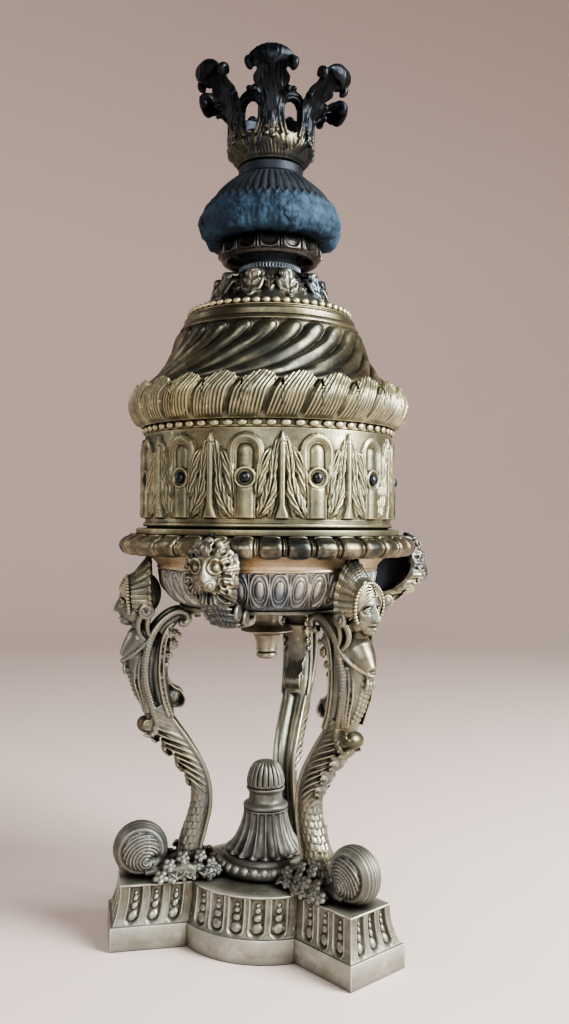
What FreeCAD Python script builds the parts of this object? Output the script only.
"""Standing oil lamp in gilt brass: a tripod of three bust-topped scroll legs on a lobed plinth carries a
bowl with an oil pan, and a domed cover with a leaf crown lifts off it.

Frame: millimetres, +Z up, origin on the lamp's axis at the face it stands on. One leg points along +Y,
the others 120 degrees either side, and the masks sit midway between the legs."""

import FreeCAD, Part

import math
import os
import sys

V = FreeCAD.Vector
doc = FreeCAD.newDocument("StandingOilLamp")

# ---------------------------------------------------------------- driving dimensions (mm)
SIZES = {
    # plinth
    "plinth_height": 29.1, "band_height": 11.3, "arm_half_width": 17.6, "arm_reach": 76.9,
    "arm_top_half_width": 13.0, "arm_top_reach": 71.3, "lobe_radius": 44.7, "lobe_top_radius": 39.9,
    "plinth_wall": 4.0,
    # little finial standing on the plinth
    "finial_foot_radius": 24.0, "finial_foot_top": 38.2, "finial_bell_radius": 19.0, "finial_bell_top": 58.8,
    "finial_neck_radius": 7.6, "finial_ring_radius": 10.6, "finial_cap_radius": 8.9, "finial_cap_floor": 69.4,
    "finial_top": 82.4,
    # legs and their feet
    "leg_shaft_width": 13.5, "leg_torso_width": 17.5, "leg_top": 146.6, "scroll_radius": 4.4,
    "volute_radius": 4.6, "shell_radius": 13.2, "shell_width": 15.0, "shell_centre": 62.0,
    "flower_radius": 3.6,
    # bowl
    "plate_floor": 158.8, "plate_radius": 44.0, "bowl_floor": 161.0, "bowl_mouth": 30.0, "bowl_radius": 50.8,
    "frieze_radius": 54.3, "frieze_top": 178.6, "bowl_neck_radius": 53.2, "bowl_collar_radius": 59.9,
    "rim_radius": 73.2, "rim_floor": 185.6, "rim_top": 195.4,
    "flange_radius": 65.5, "flange_top": 198.3, "spigot_radius": 57.2, "spigot_top": 201.0,
    "flange_bore": 48.6, "pan_radius": 47.6, "pan_lip_radius": 52.4, "pan_floor": 174.8, "pan_sheet": 1.2,
    # pendant under the bowl
    "pendant_collar_radius": 13.4, "pendant_collar_floor": 145.6, "pendant_radius": 6.2,
    "pendant_floor": 137.0, "pendant_tip_floor": 133.4, "tie_bolt_radius": 2.5,
    # masks
    "mask_back": 73.7, "mask_depth": 11.3, "mask_half_width": 12.6, "mask_half_height": 14.3,
    "mask_centre": 182.7, "mask_wall": 2.2,
    # cover
    "drum_radius": 61.4, "drum_bore": 58.4, "drum_floor": 203.0, "drum_top": 243.6,
    "base_ring_bore": 57.7, "bead_ring_top": 247.4, "skirt_radius": 62.6, "leaf_ring_radius": 69.3,
    "leaf_ring_top": 264.3, "dome_top": 297.4, "dome_top_radius": 43.6, "dome_mouth": 38.0, "clamp_radius": 41.0,
    "cap_plate_radius": 42.4, "cap_plate_top": 302.4, "cap_bead_top": 306.2,
    "socle_radius": 35.4, "socle_top": 326.0, "socle_top_radius": 16.2,
    "neck_radius": 13.4, "neck_top": 338.6, "egg_radius": 24.9, "egg_floor": 329.4, "egg_top": 341.0,
    "bulb_radius": 36.7, "bulb_waist": 350.4, "bulb_top": 374.0, "bulb_top_radius": 17.4,
    "boss_height": 221.4, "boss_radius": 2.4,
    "tube_radius": 5.0, "tube_bore": 3.2, "tube_floor": 284.0, "tube_top": 381.0, "tube_fit": 0.05,
    # crown
    "collar_radius": 16.3, "collar_top": 379.6, "crown_bulge": 21.0, "crown_wall": 2.6,
    "crown_rim": 405.0, "crown_height": 426.8, "crown_reach": 41.0, "leaf_width": 15.0,
    "seat_radius": 11.1, "seat_floor": 382.4, "seat_top": 390.4,
}
LEG_ANGLES = {"back": 90, "left": 210, "right": 330}
MASK_ANGLES = {"front": 270, "east": 30, "west": 150}
CROWN_LEAVES = 6
DRUM_ARCHES = 12
ARCH_TURN = 10          # degrees by which the drum's arches are turned from +X
CROWN_TURN = 49         # degrees by which a crown leaf is turned from +X
WINDOW_TURN = CROWN_TURN + 30
REST_GAP = 0.1          # between a piece that lifts off and what it rests on

sheet = doc.addObject("Spreadsheet::Sheet", "Sizes")
for row, (alias, number) in enumerate(SIZES.items(), start=1):
    sheet.set("A%d" % row, alias)
    sheet.set("B%d" % row, str(number))
    sheet.setAlias("B%d" % row, alias)
doc.recompute()

finished = []           # the objects that are written as parts


# ---------------------------------------------------------------- helpers
def number(size):
    """A size is a plain number, an alias, or (alias, offset)."""
    if isinstance(size, str):
        return SIZES[size]
    if isinstance(size, tuple):
        return SIZES[size[0]] + size[1]
    return float(size)


def expression(size):
    """The cell reference of a size, or None for a plain number."""
    if isinstance(size, str):
        return "Sizes." + size
    if isinstance(size, tuple):
        return "Sizes.%s %s %s" % (size[0], "-" if size[1] < 0 else "+", abs(size[1]))
    return None


def bind(obj, prop, size):
    """Sets a property and ties it to the sheet."""
    setattr(obj, prop, number(size))
    if expression(size):
        obj.setExpression(prop, expression(size))


def finish(obj, label, turn=0.0):
    """Names a finished sub-part and turns it about the lamp's axis."""
    obj.Label = label
    obj.Placement = FreeCAD.Placement(V(0, 0, 0), FreeCAD.Rotation(V(0, 0, 1), turn)).multiply(obj.Placement)
    finished.append(obj)
    return obj


def plane_of(body, role):
    return [f for f in body.Origin.OriginFeatures if f.Role == role][0]


def arc_between(start, end, sagitta):
    """An arc between two points that stands sagitta to the right of the way from start to end."""
    chord = end - start
    half = chord.Length / 2
    radius = (half ** 2 + sagitta ** 2) / (2 * abs(sagitta))
    side = V(chord.y, -chord.x, 0).normalize() * math.copysign(1, sagitta)
    centre = (start + end) * 0.5 - side * (radius - abs(sagitta))
    first, last = (start, end) if sagitta > 0 else (end, start)
    angles = [math.atan2(p.y - centre.y, p.x - centre.x) for p in (first, last)]
    if angles[1] < angles[0]:
        angles[1] += 2 * math.pi
    return Part.ArcOfCircle(Part.Circle(centre, V(0, 0, 1), radius), *angles), radius


def outline_sketch(body, role, outline, name):
    """A closed outline. Each corner is (x, y) or (x, y, sagitta), where sagitta bends the side after it."""
    sketch = body.newObject("Sketcher::SketchObject", name)
    sketch.AttachmentSupport = [(plane_of(body, role), "")]
    sketch.MapMode = "FlatFace"
    corners = [V(number(c[0]), number(c[1]), 0) for c in outline]
    ends = []               # each side's index, its vertex at this corner, and its vertex at the next
    for i, corner in enumerate(outline):
        start, end = corners[i], corners[(i + 1) % len(outline)]
        if len(corner) == 3:
            arc, radius = arc_between(start, end, corner[2])
            index = sketch.addGeometry(arc, False)
            sketch.addConstraint(Sketcher.Constraint("Radius", index, radius))
            ends.append((index, 1, 2) if corner[2] > 0 else (index, 2, 1))
        else:
            index = sketch.addGeometry(Part.LineSegment(start, end), False)
            ends.append((index, 1, 2))
    for i, corner in enumerate(outline):
        index, vertex, far_vertex = ends[i]
        following = ends[(i + 1) % len(outline)]
        sketch.addConstraint(Sketcher.Constraint("Coincident", index, far_vertex, following[0], following[1]))
        for kind, size in (("DistanceX", corner[0]), ("DistanceY", corner[1])):
            made = sketch.addConstraint(Sketcher.Constraint(kind, -1, 1, index, vertex, number(size)))
            if expression(size):
                sketch.setExpression("Constraints[%d]" % made, expression(size))
    return sketch


def circle_sketch(body, role, x, y, radius, name):
    """A circle at (x, y) of one of the body's origin planes."""
    sketch = body.newObject("Sketcher::SketchObject", name)
    sketch.AttachmentSupport = [(plane_of(body, role), "")]
    sketch.MapMode = "FlatFace"
    circle = Part.Circle(V(number(x), number(y), 0), V(0, 0, 1), number(radius))
    index = sketch.addGeometry(circle, False)
    for kind, size in (("DistanceX", x), ("DistanceY", y)):
        made = sketch.addConstraint(Sketcher.Constraint(kind, -1, 1, index, 3, number(size)))
        if expression(size):
            sketch.setExpression("Constraints[%d]" % made, expression(size))
    made = sketch.addConstraint(Sketcher.Constraint("Radius", index, number(radius)))
    if expression(radius):
        sketch.setExpression("Constraints[%d]" % made, expression(radius))
    return sketch


def revolve(body, outline, name="Turning"):
    """Revolves an outline of (radius, height) corners about the lamp's axis."""
    sketch = outline_sketch(body, "XZ_Plane", outline, name + "Outline")
    feature = body.newObject("PartDesign::Revolution", name)
    feature.Profile = sketch
    feature.ReferenceAxis = (sketch, ["V_Axis"])
    feature.Angle = 360.0
    sketch.Visibility = False
    return feature


def turned(label, outline):
    """A sub-part turned on the lathe."""
    body = doc.addObject("PartDesign::Body", label)
    revolve(body, outline)
    return finish(body, label)


def polar(body, features, count):
    """Repeats features about the lamp's axis."""
    pattern = body.newObject("PartDesign::PolarPattern", "Around")
    pattern.Originals = features
    pattern.Axis = (plane_of(body, "Z_Axis"), [""])
    pattern.Angle = 360.0
    pattern.Occurrences = count
    body.Tip = pattern
    return pattern


def ellipse(name, rho, height, tilt, radial, lateral):
    """A section of a cast piece: an ellipse across its centre line, which leans tilt degrees outwards."""
    section = doc.addObject("Part::Ellipse", name)
    wide = number(lateral) > number(radial)
    bind(section, "MajorRadius", lateral if wide else radial)
    bind(section, "MinorRadius", radial if wide else lateral)
    spin = FreeCAD.Rotation(V(0, 0, 1), 90 if wide else 0)
    lean = FreeCAD.Rotation(V(0, 1, 0), tilt)
    section.Placement = FreeCAD.Placement(V(rho, 0, height), lean * spin)
    return section


def loft(name, sections):
    """A solid through sections (rho, height, tilt, radial half width, lateral half width)."""
    made = doc.addObject("Part::Loft", name)
    made.Sections = [ellipse("%sSection%d" % (name, i), *section) for i, section in enumerate(sections)]
    made.Solid = True
    made.Ruled = False
    return made


def cylinder(name, radius, length, base, rotation=FreeCAD.Rotation()):
    made = doc.addObject("Part::Cylinder", name)
    bind(made, "Radius", radius)
    bind(made, "Height", length)
    made.Placement = FreeCAD.Placement(base, rotation)
    return made


def box(name, size, corner):
    made = doc.addObject("Part::Box", name)
    made.Length, made.Width, made.Height = size
    made.Placement.Base = corner
    return made


def fuse(name, shapes):
    made = doc.addObject("Part::MultiFuse", name)
    made.Shapes = shapes
    return made


def cut(name, base, tool):
    made = doc.addObject("Part::Cut", name)
    made.Base, made.Tool = base, tool
    return made


def group(label, shapes):
    """Identical loose pieces that share one node."""
    made = doc.addObject("Part::Compound", label)
    made.Links = shapes
    return finish(made, label)


def around(angle, rho, height):
    """The point rho from the axis in a direction, at a height."""
    return V(rho * math.cos(math.radians(angle)), rho * math.sin(math.radians(angle)), height)


import Sketcher  # noqa: E402  it needs FreeCAD and Part loaded first

LATERAL = FreeCAD.Rotation(V(1, 0, 0), 90)      # turns a cylinder's axis from +Z to -Y
RADIAL = FreeCAD.Rotation(V(0, 1, 0), 90)       # turns a cylinder's axis from +Z to +X


# ---------------------------------------------------------------- plinth
SCREW_RHO = 38.0            # where each leg's screw comes up through the plinth
SHELL_SCREW_RHO = 62.0
SCREW_RADIUS = 2.0
HOLE_RADIUS = 2.1


def make_plinth():
    """A cast hollow plinth: three square arms and a round middle, with a hollow-sided frieze over a band."""
    body = doc.addObject("PartDesign::Body", "plinth")
    across = outline_sketch(body, "YZ_Plane", [
        (0 - SIZES["arm_half_width"], 0), ("arm_half_width", 0), ("arm_half_width", "band_height"),
        (("arm_half_width", -1.0), "band_height", -1.9), ("arm_top_half_width", "plinth_height"),
        (0 - SIZES["arm_top_half_width"], "plinth_height", -1.9),
        (1.0 - SIZES["arm_half_width"], "band_height"), (0 - SIZES["arm_half_width"], "band_height"),
    ], "ArmSection")
    arm = body.newObject("PartDesign::Pad", "Arm")
    arm.Profile = across
    bind(arm, "Length", "arm_reach")
    doc.recompute()
    end = outline_sketch(body, "XZ_Plane", [
        (("arm_reach", -1.0), "band_height", -1.9), ("arm_top_reach", "plinth_height"),
        ("arm_top_reach", ("plinth_height", 5)), (("arm_reach", 5), ("plinth_height", 5)),
        (("arm_reach", 5), "band_height"),
    ], "EndSection")
    end_cut = body.newObject("PartDesign::Pocket", "EndHollow")
    end_cut.Profile = end
    end_cut.Type = "ThroughAll"
    end_cut.Midplane = True
    doc.recompute()
    polar(body, [arm, end_cut], 3)
    doc.recompute()
    revolve(body, [
        (0, 0), ("lobe_radius", 0), ("lobe_radius", "band_height"), (("lobe_radius", -1.0), "band_height", -1.9),
        ("lobe_top_radius", "plinth_height"), (0, "plinth_height"),
    ], "Middle")
    doc.recompute()
    roof = ("plinth_height", -SIZES["plinth_wall"])
    inside = outline_sketch(body, "YZ_Plane", [
        (-9.4, -1), (9.4, -1), (9.4, roof), (-9.4, roof),
    ], "ArmHollowSection")
    hollow = body.newObject("PartDesign::Pocket", "ArmHollow")
    hollow.Profile = inside
    hollow.Reversed = True
    bind(hollow, "Length", ("arm_top_reach", -4.0))
    doc.recompute()
    polar(body, [hollow], 3)
    doc.recompute()
    groove_outline = outline_sketch(body, "XZ_Plane", [
        (0, -1), (("lobe_top_radius", -4.0), -1), (("lobe_top_radius", -4.0), roof), (0, roof),
    ], "MiddleHollowOutline")
    groove = body.newObject("PartDesign::Groove", "MiddleHollow")
    groove.Profile = groove_outline
    groove.ReferenceAxis = (groove_outline, ["V_Axis"])
    groove.Angle = 360.0
    doc.recompute()
    for name, rho, copies in (("LegHole", SCREW_RHO, 3), ("ShellHole", SHELL_SCREW_RHO, 3), ("StudHole", 0, 1)):
        ring = circle_sketch(body, "XY_Plane", rho, 0, HOLE_RADIUS if copies == 3 else 3.1, name + "Circle")
        hole = body.newObject("PartDesign::Pocket", name)
        hole.Profile = ring
        hole.Type = "ThroughAll"
        hole.Reversed = True
        doc.recompute()
        if copies > 1:
            polar(body, [hole], copies)
            doc.recompute()
    return finish(body, "plinth", LEG_ANGLES["back"])


make_plinth()

# ---------------------------------------------------------------- finial on the plinth
STUD = 3.0                  # radius of the finial's threaded stud
turned("finial_foot", [
    (("tube_fit", STUD), "plinth_height"), (("finial_foot_radius", -1.6), "plinth_height", 2.0),
    (("finial_foot_radius", -1.2), 36.2), (("finial_foot_radius", -2.2), 36.2),
    (("finial_foot_radius", -2.6), "finial_foot_top"), (("tube_fit", STUD), "finial_foot_top"),
])
turned("finial_bell", [
    (("tube_fit", STUD), "finial_foot_top"), ("finial_bell_radius", "finial_foot_top"),
    ("finial_bell_radius", ("finial_foot_top", 1.2), -2.7), (("finial_ring_radius", -0.8), "finial_bell_top"),
    (("tube_fit", STUD), "finial_bell_top"),
])
turned("finial_neck", [
    (("tube_fit", STUD), "finial_bell_top"), (("finial_ring_radius", -0.6), "finial_bell_top"),
    ("finial_ring_radius", ("finial_bell_top", 1.6)), (("finial_ring_radius", -0.6), ("finial_bell_top", 3.4)),
    (("finial_neck_radius", 0.4), ("finial_bell_top", 4.2), -0.7),
    (("finial_neck_radius", 0.2), 68.4), (("finial_neck_radius", 0.4), "finial_cap_floor"), (("tube_fit", STUD), "finial_cap_floor"),
])
turned("finial_cap", [
    (("tube_fit", STUD), "finial_cap_floor"), (("finial_cap_radius", -0.4), "finial_cap_floor"),
    ("finial_cap_radius", ("finial_cap_floor", 1.6), 1.2), (6.6, 78.6, 0.5), (3.0, ("finial_top", -0.6)),
    (0, "finial_top"), (0, 76.2), (("tube_fit", STUD), 76.2),
])
stud = cylinder("finial_stud", STUD, 76.0 - 17.0, V(0, 0, 17.0))
finish(stud, "finial_stud")
turned("finial_washer", [
    (("tube_fit", STUD), 23.6), (9.0, 23.6), (9.0, ("plinth_height", -SIZES["plinth_wall"])),
    (("tube_fit", STUD), ("plinth_height", -SIZES["plinth_wall"])),
])


def hex_nut(label, across_flats, bore, floor, top):
    """A hexagon nut round the lamp's axis."""
    block = doc.addObject("Part::Prism", label + "Hexagon")
    block.Polygon = 6
    block.Circumradius = across_flats / math.sqrt(3)
    block.Height = top - floor
    block.Placement.Base = V(0, 0, floor)
    hole = cylinder(label + "Bore", bore, top - floor + 2, V(0, 0, floor - 1))
    return finish(cut(label, block, hole), label)


hex_nut("finial_nut", 10.0, STUD + SIZES["tube_fit"], 18.6, 23.6)


# ---------------------------------------------------------------- legs
def make_leg(name, angle):
    """A scroll leg: a shaft that sweeps in and out again, a torso, a volute, and a scroll under the bowl."""
    half = SIZES["leg_shaft_width"] / 2
    shaft = loft(name + "Shaft", [
        (38.0, 29.3, 0, 6.6, half),
        (37.8, 45.0, -14, 5.9, half),
        (33.6, 62.0, -4, 5.4, half),
        (34.4, 77.0, 14, 5.4, half),
        (40.2, 88.5, 36, 5.6, half + 0.3),
        (48.4, 99.0, 38, 6.6, half + 0.8),
        (54.0, 108.5, 20, 8.0, half + 1.4),
    ])
    torso_half = SIZES["leg_torso_width"] / 2
    torso = loft(name + "Torso", [
        (54.5, 105.5, 10, 9.3, torso_half - 1.0),
        (57.0, 114.0, 8, 9.6, torso_half),
        (59.0, 124.0, 6, 10.2, torso_half),
        (60.4, 133.0, 0, 11.6, torso_half + 0.6),
        (58.2, 140.5, -10, 9.4, torso_half),
        (58.0, SIZES["leg_top"], 0, 7.4, torso_half - 2.0),
    ])
    volute = cylinder(name + "Volute", "volute_radius", 18.0, V(58.8, 9.0, 104.6), LATERAL)
    scroll = cylinder(name + "Scroll", "scroll_radius", 10.0, V(42.4, 5.0, 154.2), LATERAL)
    arm = box(name + "Arm", (13.0, 9.0, 5.5), V(42.4, -4.5, 0))
    arm.Placement = FreeCAD.Placement(V(42.8, -4.5, 149.9), FreeCAD.Rotation(V(0, 1, 0), 33))
    lug = box(name + "Lug", (14.0, 9.0, 3.6), V(31.5, -4.5, 155.1))
    solid = fuse(name + "Cast", [shaft, torso, volute, scroll, arm, lug])
    foot_hole = cylinder(name + "FootHole", HOLE_RADIUS, 14.0, V(SCREW_RHO, 0, 29.0))
    bowl_hole = cylinder(name + "BowlHole", 1.6, 6.0, V(35.0, 0, 153.5))
    neck_seat = box(name + "NeckSeat", (14.0, 20.0, 8.0), V(53.2, -10.0, SIZES["leg_top"] + 0.02))
    trimmed = cut(name, solid, fuse(name + "Cuts", [foot_hole, bowl_hole, neck_seat]))
    return finish(trimmed, name, angle)


def make_bust(name, angle):
    """A head on a neck, under a pleated headdress, that stands on a leg's torso."""
    head = loft(name + "Head", [
        (60.0, SIZES["leg_top"] + 0.1, 0, 6.2, 7.0),
        (62.6, 149.4, 0, 5.6, 6.0),
        (65.2, 154.0, 0, 7.2, 8.0),
        (65.6, 160.0, 0, 9.8, 10.8),
        (65.6, 168.0, 0, 9.6, 11.6),
        (63.0, 176.0, -12, 7.6, 11.8),
        (60.4, 182.0, -14, 4.2, 9.4),
        (59.4, 184.6, -14, 2.2, 6.0),
    ])
    return finish(head, name, angle)


def make_shell(name, angle):
    """The snail-like scroll that the leg's toe curls into, drilled for its screw."""
    radius, width = SIZES["shell_radius"], SIZES["shell_width"]
    rho, height = SIZES["shell_centre"], SIZES["plinth_height"] + radius + 0.1
    disc = cylinder(name + "Disc", "shell_radius", width, V(rho, width / 2, height), LATERAL)
    rounded = doc.addObject("Part::Fillet", name + "Rounded")
    rounded.Base = disc
    doc.recompute()
    rims = [i for i, e in enumerate(disc.Shape.Edges, start=1) if isinstance(e.Curve, Part.Circle)]
    rounded.Edges = [(i, 3.6, 3.6) for i in rims]
    pad = box(name + "Pad", (12.0, 8.0, 5.0), V(rho - 6.0, -4.0, SIZES["plinth_height"] + 0.1))
    hole = cylinder(name + "Hole", HOLE_RADIUS, 10.0, V(rho, 0, SIZES["plinth_height"]))
    return finish(cut(name, fuse(name + "Cast", [rounded, pad]), hole), name, angle)


def make_flowers(name, angle):
    """Two banks of flowers, one each side of a leg's ankle."""
    floor, side_shift = SIZES["plinth_height"] + 0.15, 12.6
    banks = []
    for side in (-1, 1):
        bank = loft("%sBank%s" % (name, "L" if side > 0 else "R"), [
            (rho, floor + rise, 90, rise, half)
            for rho, rise, half in ((26.4, 2.9, 2.5), (31.0, 4.8, 4.5), (38.0, 6.6, 4.8), (46.0, 6.2, 4.8),
                                    (51.6, 4.6, 4.2), (55.4, 2.7, 2.3))
        ])
        bank.Placement.Base = V(0, side * side_shift, 0)
        banks.append(bank)
    made = doc.addObject("Part::Compound", name)
    made.Links = banks
    return finish(made, name, angle)


for where, angle in LEG_ANGLES.items():
    make_leg("leg_" + where, angle)
    make_bust("bust_" + where, angle)
    make_shell("foot_shell_" + where, angle)
    make_flowers("foot_flowers_" + where, angle)


def screw(name, angle, rho, head_radius, head_floor, head_top, shank_radius, shank_end):
    """A vertical screw at rho: its head lies between two heights, and its shank runs to shank_end."""
    head = cylinder(name + "Head", head_radius, head_top - head_floor, around(angle, rho, head_floor))
    low, high = min(head_floor, shank_end), max(head_top, shank_end)
    shank = cylinder(name + "Shank", shank_radius, high - low, around(angle, rho, low))
    return fuse(name, [head, shank])


ROOF = SIZES["plinth_height"] - SIZES["plinth_wall"]
group("foot_screws", [
    screw("FootScrew%d%d" % (angle, rho), angle, rho, 3.8, ROOF - 2.6, ROOF, SCREW_RADIUS, end)
    for angle in LEG_ANGLES.values() for rho, end in ((SCREW_RHO, 42.0), (SHELL_SCREW_RHO, 37.0))
])
group("bowl_screws", [
    screw("BowlScrew%d" % angle, angle, 35.0, 3.0, 163.6, 165.4, 1.5, 154.5) for angle in LEG_ANGLES.values()
])

# ---------------------------------------------------------------- bowl
BOLT = ("tie_bolt_radius", 0.05)
BOWL_WALL = 2.5


def with_holes(label, outline, rho, radius, angles):
    """A turned piece with vertical holes at rho in the given directions."""
    body = doc.addObject("PartDesign::Body", label)
    revolve(body, outline)
    doc.recompute()
    for i, angle in enumerate(angles):
        point = around(angle, rho, 0)
        ring = circle_sketch(body, "XY_Plane", point.x, point.y, radius, "HoleCircle%d" % i)
        hole = body.newObject("PartDesign::Pocket", "Hole%d" % i)
        hole.Profile = ring
        hole.Type = "ThroughAll"
        hole.Reversed = True
        doc.recompute()
    return finish(body, label)


with_holes("bowl_plate", [
    (BOLT, "plate_floor"), (("plate_radius", -0.8), "plate_floor"), ("plate_radius", ("plate_floor", 0.8)),
    ("plate_radius", "bowl_floor"), (BOLT, "bowl_floor"),
], 35.0, 1.6, list(LEG_ANGLES.values()) + list(MASK_ANGLES.values()))

with_holes("bowl", [
    ("bowl_mouth", "bowl_floor"), (39.0, "bowl_floor", 3.0), ("bowl_radius", 174.0), ("bowl_radius", ("frieze_top", 0.2)),
    ("bowl_neck_radius", ("frieze_top", 1.4), -0.6), (("bowl_neck_radius", 1.2), 186.8),
    ("bowl_collar_radius", 187.8), ("bowl_collar_radius", "rim_top"), (("bowl_collar_radius", -2.4), "rim_top"),
    (("bowl_collar_radius", -2.4), 190.2), (51.8, 188.4), (50.4, 181.0), (("bowl_radius", -BOWL_WALL), 179.0),
    (("bowl_radius", -BOWL_WALL), 174.4, -2.8), (38.6, ("bowl_floor", BOWL_WALL)),
    ("bowl_mouth", ("bowl_floor", BOWL_WALL)),
], 35.0, 1.6, list(LEG_ANGLES.values()))

turned("bowl_frieze", [
    (41.0, ("bowl_floor", 0.1)), (("plate_radius", -0.4), ("bowl_floor", 0.1), 2.4), ("frieze_radius", 173.0, 0.4),
    (("frieze_radius", -0.2), "frieze_top"), (("bowl_radius", 0.2), "frieze_top"), (("bowl_radius", 0.2), 173.8, -3.2),
])


def make_rim():
    """The gadrooned rim, drilled for the three pins that carry the masks."""
    body = doc.addObject("PartDesign::Body", "gadroon_rim")
    revolve(body, [
        (("bowl_collar_radius", 0.1), 187.9), (63.0, 187.9), (65.4, "rim_floor"), (70.6, "rim_floor", 1.2),
        ("rim_radius", 189.8, 1.0), (68.2, "rim_top"), (("bowl_collar_radius", 0.1), "rim_top"),
    ])
    doc.recompute()
    ring = circle_sketch(body, "YZ_Plane", 0, 190.6, 1.3, "PinCircle")
    hole = body.newObject("PartDesign::Pocket", "PinHole")
    hole.Profile = ring
    hole.Type = "Length"
    hole.Reversed = True
    bind(hole, "Length", ("rim_radius", 5.0))
    doc.recompute()
    polar(body, [hole], 3)
    doc.recompute()
    return finish(body, "gadroon_rim", MASK_ANGLES["east"])


make_rim()

turned("seat_flange", [
    ("flange_bore", "rim_top"), ("flange_radius", "rim_top"), ("flange_radius", "flange_top"),
    ("spigot_radius", "flange_top"), ("spigot_radius", "spigot_top"), (("spigot_radius", -2.8), "spigot_top"),
    (("spigot_radius", -2.8), "flange_top"), ("flange_bore", "flange_top"),
])
turned("oil_pan", [
    (0, "pan_floor"), (("pan_radius", -1.0), "pan_floor", 0.3), ("pan_radius", ("pan_floor", 1.0)),
    ("pan_radius", ("flange_top", REST_GAP)), ("pan_lip_radius", ("flange_top", REST_GAP)),
    ("pan_lip_radius", ("flange_top", 1.3)), (("pan_radius", -1.2), ("flange_top", 1.3)),
    (("pan_radius", -1.2), ("pan_floor", 1.2)), (0, ("pan_floor", 1.2)),
])

# ---------------------------------------------------------------- pendant and tie bolt
turned("pendant_collar", [
    (BOLT, "pendant_collar_floor"), (("pendant_radius", 1.6), "pendant_collar_floor"),
    (("pendant_collar_radius", -0.2), 147.2), ("pendant_collar_radius", 147.7, -0.8),
    (("pendant_radius", -0.2), 151.2, -0.5), (("pendant_radius", 0.2), "plate_floor"), (BOLT, "plate_floor"),
])
turned("pendant_drop", [
    (BOLT, "pendant_floor"), (("pendant_radius", -1.2), "pendant_floor"), (("pendant_radius", -1.0), 140.0, -0.3),
    (("pendant_radius", 0.6), "pendant_collar_floor"), (BOLT, "pendant_collar_floor"),
])
turned("pendant_tip", [
    (0, "pendant_tip_floor"), (4.2, "pendant_tip_floor", 0.6), (5.2, 135.2), (4.6, 136.6),
    (4.0, "pendant_floor"), (BOLT, "pendant_floor"), (BOLT, 136.0), (0, 136.0),
])
tie_bolt = fuse("tie_bolt", [
    cylinder("TieShank", "tie_bolt_radius", 163.5 - 136.2, V(0, 0, 136.2)),
    cylinder("TieHead", 5.0, 2.2, V(0, 0, 163.6)),
    cylinder("TieNeck", "tie_bolt_radius", 1.0, V(0, 0, 163.0)),
])
finish(tie_bolt, "tie_bolt")


# ---------------------------------------------------------------- masks between the legs
def make_mask(name, angle):
    """A hollow mask, open at the back, that hangs on the rim by its pin."""
    back, centre, wall = SIZES["mask_back"], SIZES["mask_centre"], SIZES["mask_wall"]
    tall, wide, deep = SIZES["mask_half_height"], SIZES["mask_half_width"], SIZES["mask_depth"]
    steps = ((0.0, 1.0), (0.5, 0.9), (0.84, 0.66), (1.0, 0.34))
    outer = loft(name + "Outer", [
        (back + deep * step, centre, 90, tall * share, wide * share) for step, share in steps
    ])
    inner = loft(name + "Inner", [
        (back - 0.5 + (deep - wall + 0.5) * step, centre, 90, (tall - wall) * share, (wide - wall) * share)
        for step, share in steps
    ])
    shell = cut(name + "Shell", outer, inner)
    lug = cylinder(name + "Lug", 3.4, deep - 1.5, V(back, 0, 190.6), RADIAL)
    hole = cylinder(name + "PinHole", 1.3, 5.6, V(back - 1, 0, 190.6), RADIAL)
    return finish(cut(name, fuse(name + "Cast", [shell, lug]), hole), name, angle)


def make_bracket(name, angle):
    """A scroll bracket from under the bowl's plate to a mask's chin."""
    body = doc.addObject("PartDesign::Body", name)
    side = outline_sketch(body, "XZ_Plane", [
        (31.0, 155.2), (46.0, 154.4, 1.4), (60.0, 158.2, 1.2), (72.4, 168.6, 0.6), (73.4, 174.0),
        (70.4, 173.6, -1.0), (58.6, 163.4, -1.2), (46.0, 158.7), (31.0, 158.7),
    ], "SideOutline")
    arm = body.newObject("PartDesign::Pad", "Arm")
    arm.Profile = side
    arm.Midplane = True
    arm.Length = 11.0
    doc.recompute()
    ring = circle_sketch(body, "XY_Plane", 35.0, 0, 1.6, "ScrewCircle")
    hole = body.newObject("PartDesign::Pocket", "ScrewHole")
    hole.Profile = ring
    hole.Type = "ThroughAll"
    hole.Reversed = True
    doc.recompute()
    return finish(body, name, angle)


for where, angle in MASK_ANGLES.items():
    make_mask("mask_" + where, angle)
    make_bracket("mask_bracket_" + where, angle)
group("mask_pins", [
    cylinder("MaskPin%d" % angle, 1.2, 78.0 - 62.0, around(angle, 62.0, 190.6),
             FreeCAD.Rotation(V(0, 0, 1), angle) * RADIAL)
    for angle in MASK_ANGLES.values()
])
group("bracket_screws", [
    screw("BracketScrew%d" % angle, angle, 35.0, 2.8, 153.2, 154.85, 1.5, 160.8) for angle in MASK_ANGLES.values()
])

# ---------------------------------------------------------------- cover: drum and dome
turned("drum_base_ring", [
    ("base_ring_bore", ("flange_top", REST_GAP)), (60.2, ("flange_top", REST_GAP)), (60.2, 199.0), (("drum_radius", 0.2), 199.0),
    (("drum_radius", 0.2), 200.8), (("drum_radius", -0.2), 201.2), (("drum_radius", -0.2), "drum_floor"),
    ("base_ring_bore", "drum_floor"),
])


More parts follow.
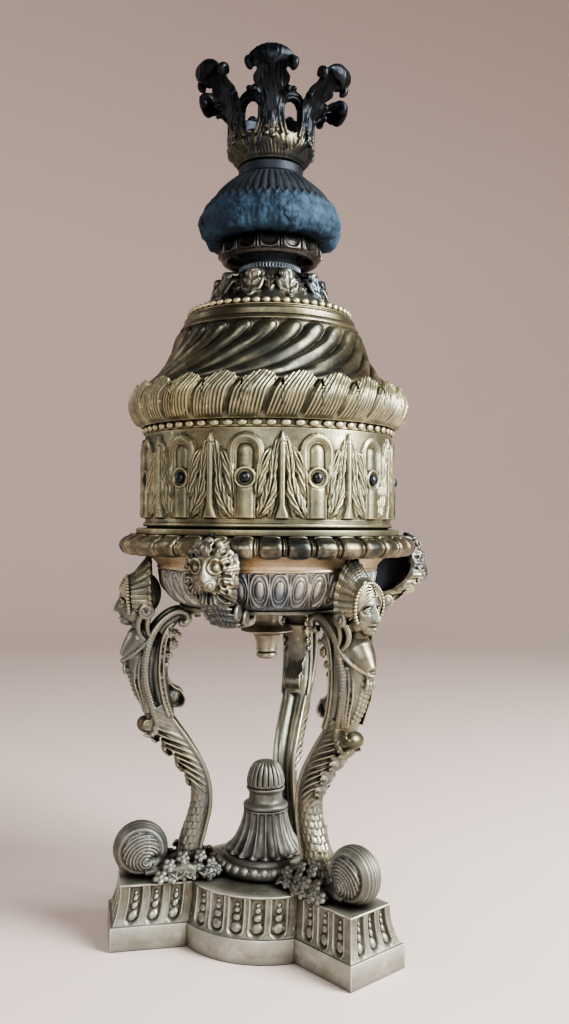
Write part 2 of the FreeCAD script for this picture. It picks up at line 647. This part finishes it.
def make_drum():
    """The arcaded drum wall, drilled for its bosses."""
    body = doc.addObject("PartDesign::Body", "drum")
    revolve(body, [
        ("drum_bore", "drum_floor"), ("drum_radius", "drum_floor"), ("drum_radius", "drum_top"),
        ("drum_bore", "drum_top"),
    ])
    doc.recompute()
    ring = circle_sketch(body, "YZ_Plane", 0, "boss_height", 1.3, "BossCircle")
    hole = body.newObject("PartDesign::Pocket", "BossHole")
    hole.Profile = ring
    hole.Type = "Length"
    hole.Reversed = True
    bind(hole, "Length", ("drum_radius", 5.0))
    doc.recompute()
    polar(body, [hole], DRUM_ARCHES)
    doc.recompute()
    return finish(body, "drum", ARCH_TURN)


make_drum()


def boss(name, angle):
    """A round-headed rivet through the drum's wall."""
    turn = FreeCAD.Rotation(V(0, 0, 1), angle) * RADIAL
    bore, outside = SIZES["drum_bore"], SIZES["drum_radius"]
    shank = cylinder(name + "Shank", 1.2, outside + 0.6 - bore, around(angle, bore, SIZES["boss_height"]), turn)
    head = cylinder(name + "Head", "boss_radius", 2.2, around(angle, outside + 0.25, SIZES["boss_height"]), turn)
    return fuse(name, [shank, head])


group("drum_bosses", [
    boss("Boss%d" % i, ARCH_TURN + i * 360 / DRUM_ARCHES) for i in range(DRUM_ARCHES)
])
turned("drum_bead_ring", [
    (("drum_bore", 0.4), "drum_top"), (61.0, "drum_top", 0.9), (61.0, "bead_ring_top"),
    (("drum_bore", 0.4), "bead_ring_top"),
])
turned("dome", [
    (("drum_bore", 1.4), "bead_ring_top"), ("skirt_radius", "bead_ring_top"), ("skirt_radius", ("leaf_ring_top", 0.1)),
    (67.4, ("leaf_ring_top", 0.1)), (67.4, 265.2, -3.8), (50.6, 279.0, -0.7), (46.6, 290.0),
    (("dome_top_radius", 0.4), 296.6), ("dome_top_radius", "dome_top"), ("dome_mouth", "dome_top"),
    ("dome_mouth", 294.2), (41.6, 294.2), (43.8, 289.6), (47.8, 278.6, 3.6), (62.0, 262.8, 0.6),
    (("skirt_radius", -2.4), 261.0),
])
turned("acanthus_ring", [
    (("skirt_radius", 0.1), "bead_ring_top"), (63.6, "bead_ring_top", 1.6),
    ("leaf_ring_radius", 258.4, 1.0), (67.4, "leaf_ring_top"), (("skirt_radius", 0.1), "leaf_ring_top"),
])
turned("dome_cap_plate", [
    (("tube_radius", 0.05), "dome_top"), ("cap_plate_radius", "dome_top"), ("cap_plate_radius", 300.8),
    (("cap_plate_radius", -1.0), "cap_plate_top"), (("tube_radius", 0.05), "cap_plate_top"),
])
turned("cap_bead_ring", [
    (36.6, "cap_plate_top"), (41.0, "cap_plate_top", 0.4), (40.2, "cap_bead_top"), (36.6, "cap_bead_top"),
])

# ---------------------------------------------------------------- cover: neck stack on its draw tube
turned("leaf_socle", [
    (("tube_radius", 0.05), "cap_plate_top"), ("socle_radius", "cap_plate_top"), ("socle_radius", 304.6, -1.6),
    (22.0, 321.6, -0.6), ("socle_top_radius", "socle_top"), (("tube_radius", 0.05), "socle_top"),
    (("tube_radius", 0.05), 322.6), (13.0, 322.6), (31.0, 306.4), (("tube_radius", 0.05), 306.4),
])
turned("neck_spool", [
    (("tube_radius", 0.05), "socle_top"), (("neck_radius", 1.8), "socle_top"), (("neck_radius", 1.8), "egg_floor"),
    ("neck_radius", 330.0, -0.7), ("neck_radius", "neck_top"), (("tube_radius", 0.05), "neck_top"),
])
turned("egg_ring", [
    (("tube_radius", 0.05), "neck_top"), (20.4, "neck_top"), (21.4, 334.6), (17.6, 330.4), (19.3, "egg_floor", 1.4),
    ("egg_radius", 335.4, 1.0), (23.0, "egg_top"), (("tube_radius", 0.05), "egg_top"),
])
turned("leaf_bulb", [
    (("tube_radius", 0.05), "egg_top"), (30.0, "egg_top", 1.4), ("bulb_radius", "bulb_waist", 0.6), (33.4, 358.0, 0.8),
    (27.2, 366.2, 0.6), ("bulb_top_radius", 373.2), (("bulb_top_radius", -0.6), "bulb_top"),
    (("tube_radius", 0.05), "bulb_top"), (("tube_radius", 0.05), 370.6), (16.0, 370.6), (24.8, 364.2),
    (30.4, 356.4), (33.2, 350.2), (28.2, 344.0), (("tube_radius", 0.05), 344.0),
])


def tube_nut(label, floor, top):
    return hex_nut(label, 15.0, SIZES["tube_radius"] + 0.05, floor, top)


tube_nut("neck_nut", 374.05, 378.0)
tube_nut("dome_nut", 288.6, 292.6)
turned("dome_washer", [
    (("tube_radius", 0.05), 292.7), ("clamp_radius", 292.7), ("clamp_radius", 294.1),
    (("tube_radius", 0.05), 294.1),
])
turned("draw_tube", [
    ("tube_bore", "tube_floor"), ("tube_radius", "tube_floor"), ("tube_radius", "tube_top"), ("tube_bore", "tube_top"),
])

# ---------------------------------------------------------------- crown
turned("crown_collar", [
    (10.4, ("bulb_top", REST_GAP)), (("collar_radius", -0.6), ("bulb_top", REST_GAP)),
    ("collar_radius", ("bulb_top", 0.8), -0.4),
    (("collar_radius", -0.1), ("collar_top", -0.6)), (("collar_radius", -0.4), "collar_top"), (10.4, "collar_top"),
])


def make_crown_cup():
    """The crown's cup, with its burner seat and six windows."""
    body = doc.addObject("PartDesign::Body", "crown_cup")
    revolve(body, [
        (("tube_radius", 0.05), "collar_top"), (17.4, "collar_top", 0.9), ("crown_bulge", 390.0, 0.4),
        (("crown_bulge", -0.3), "crown_rim"), (18.0, "crown_rim"), (18.3, 392.0), (15.8, "seat_top"),
        ("seat_radius", "seat_top"), ("seat_radius", "seat_floor"), (("tube_radius", 0.05), "seat_floor"),
    ], "Cup")
    doc.recompute()
    window = body.newObject("Sketcher::SketchObject", "WindowOutline")
    window.AttachmentSupport = [(plane_of(body, "YZ_Plane"), "")]
    window.MapMode = "FlatFace"
    low, high, wide = 394.4, 400.6, 4.2
    window.addGeometry(Part.Arc(V(-wide, high, 0), V(0, high + wide, 0), V(wide, high, 0)), False)
    window.addGeometry(Part.LineSegment(V(wide, high, 0), V(wide, low, 0)), False)
    window.addGeometry(Part.Arc(V(wide, low, 0), V(0, low - wide + 1.6, 0), V(-wide, low, 0)), False)
    window.addGeometry(Part.LineSegment(V(-wide, low, 0), V(-wide, high, 0)), False)
    opening = body.newObject("PartDesign::Pocket", "Window")
    opening.Profile = window
    opening.Type = "Length"
    opening.Reversed = True
    opening.Length = 30.0
    doc.recompute()
    polar(body, [opening], CROWN_LEAVES)
    doc.recompute()
    return finish(body, "crown_cup", WINDOW_TURN)


def crown_leaf(name, angle):
    """A leaf that stands on the cup's rim, laps down over its outside, and curls out at the top."""
    body = doc.addObject("PartDesign::Body", name)
    side = outline_sketch(body, "XZ_Plane", [
        (18.6, 396.0), (23.0, 396.0, -1.2), (26.0, 411.0, -3.2), (37.6, 421.6), (37.0, 417.4),
        (39.4, 414.6), ("crown_reach", 418.4, 2.2), (36.0, "crown_height", 3.0), (22.6, 414.0, 1.4),
        (18.6, ("crown_rim", 0.1)),
    ], "BladeOutline")
    leaf = body.newObject("PartDesign::Pad", "Leaf")
    leaf.Profile = side
    leaf.Midplane = True
    bind(leaf, "Length", "leaf_width")
    doc.recompute()
    round_cup = circle_sketch(body, "XY_Plane", 0, 0, ("crown_bulge", 0.45), "CupCircle")
    relief = body.newObject("PartDesign::Pocket", "CupRelief")
    relief.Profile = round_cup
    relief.Type = "Length"
    relief.Reversed = True
    bind(relief, "Length", ("crown_rim", 0.05))
    doc.recompute()
    body.Placement = FreeCAD.Placement(V(0, 0, 0), FreeCAD.Rotation(V(0, 0, 1), angle))
    return body


make_crown_cup()
group("leaf_crown", [
    crown_leaf("CrownLeaf%d" % i, CROWN_TURN + i * 360 / CROWN_LEAVES) for i in range(CROWN_LEAVES)
])

# ---------------------------------------------------------------- check and write
doc.recompute()
faults = []
for obj in doc.Objects:
    if "Invalid" in obj.State or "Error" in obj.State:
        faults.append("%s is %s" % (obj.Label, obj.State))
for obj in finished:
    shape = obj.Shape
    if shape.isNull() or not shape.isValid() or not shape.Solids:
        faults.append("%s has no valid shape" % obj.Label)
if faults:
    sys.exit("\n".join(faults))

os.makedirs("parts", exist_ok=True)
for obj in finished:
    obj.Shape.exportStep(os.path.join("parts", obj.Label + ".step"))
    bounds = obj.Shape.BoundBox
    print("%-22s %d solids %9.1f mm3  z %6.1f to %6.1f" % (
        obj.Label, len(obj.Shape.Solids), obj.Shape.Volume, bounds.ZMin, bounds.ZMax))
